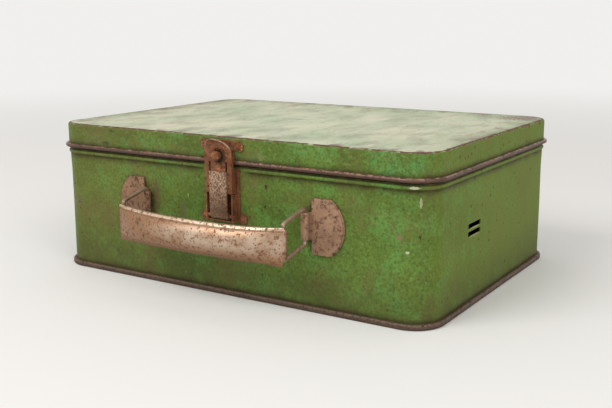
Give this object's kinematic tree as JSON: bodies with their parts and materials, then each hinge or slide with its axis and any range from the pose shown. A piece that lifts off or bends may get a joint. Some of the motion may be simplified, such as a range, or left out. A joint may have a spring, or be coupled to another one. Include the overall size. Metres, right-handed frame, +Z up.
{
  "type": "tin trunk",
  "caption": "Small painted tin trunk for papers: lift-up lid on rear hinges, snap hasp at the front and a swinging sheet-metal handle on wire links.",
  "frame": {"origin": "on the table, under the middle of the whole part: the box round every piece is centred on X and Y, and the base seam's underside is at Z = 0", "axes": "+Z up, -Y towards the latch and the handle, +X to the right seen from the front, along the longest side"},
  "size_m": [0.2582, 0.215, 0.0898],
  "materials": {
    "green_paint": "old semi-gloss enamel, faded and scuffed",
    "worn_steel": "bare tinplate, browned and dull",
    "dull_nickel": "dull plated steel with brown stain",
    "worn_nickel": "worn bright plating with rust specks",
    "rusty_steel": "rusted steel, matt"
  },
  "bodies": {
    "trunk": {"body_wall": "green_paint", "base_pan": "worn_steel", "left_handle_plate": "dull_nickel", "right_handle_plate": "dull_nickel", "latch_body_plate": "rusty_steel", "latch_body_rivets": "rusty_steel", "latch_pivot_pin": "rusty_steel", "left_hinge_body_leaf": "rusty_steel", "right_hinge_body_leaf": "rusty_steel", "left_hinge_pin": "worn_steel", "right_hinge_pin": "worn_steel", "hinge_body_rivets": "rusty_steel"},
    "lid": {"lid_shell": "green_paint", "lid_rim_wire": "worn_steel", "keeper_plate": "rusty_steel", "keeper_rivets": "rusty_steel", "left_hinge_lid_leaf": "rusty_steel", "right_hinge_lid_leaf": "rusty_steel", "hinge_lid_rivets": "rusty_steel"},
    "hasp": {"hasp_lever": "rusty_steel", "hasp_strap": "worn_nickel", "hasp_spring": "worn_steel", "hasp_knob": "rusty_steel"},
    "left_link": {"left_link": "dull_nickel"},
    "right_link": {"right_link": "dull_nickel"},
    "grip": {"handle_grip": "worn_nickel"}
  },
  "joints": [
    {"name": "lid_hinge", "type": "hinge", "parent": "trunk", "child": "lid", "pos_m": [0, 0.10438, 0.0726], "axis": [-1, 0, 0], "range_deg": [0, 105], "deforming": ["hasp_spring"]},
    {"name": "hasp_swing", "type": "hinge", "parent": "trunk", "child": "hasp", "pos_m": [0.0019, -0.07847, 0.0462], "axis": [1, 0, 0], "range_deg": [0, 58]},
    {"name": "left_link_swing", "type": "hinge", "parent": "trunk", "child": "left_link", "pos_m": [-0.0527, -0.078, 0.0469], "axis": [0, 0, 1], "range_deg": [-56, 68]},
    {"name": "grip_pivot", "type": "hinge", "parent": "left_link", "child": "grip", "pos_m": [-0.05456, -0.0957, 0.0413], "axis": [0, 0, 1], "range_deg": [-68, 56]},
    {"name": "right_link_swing", "type": "hinge", "parent": "trunk", "child": "right_link", "pos_m": [0.0565, -0.078, 0.0469], "axis": [0, 0, 1], "range_deg": [-56, 68]}
  ],
  "couplings": [
    {"joint": "grip_pivot", "follows": "left_link_swing", "ratio": -1},
    {"joint": "right_link_swing", "follows": "left_link_swing", "ratio": 1}
  ]
}
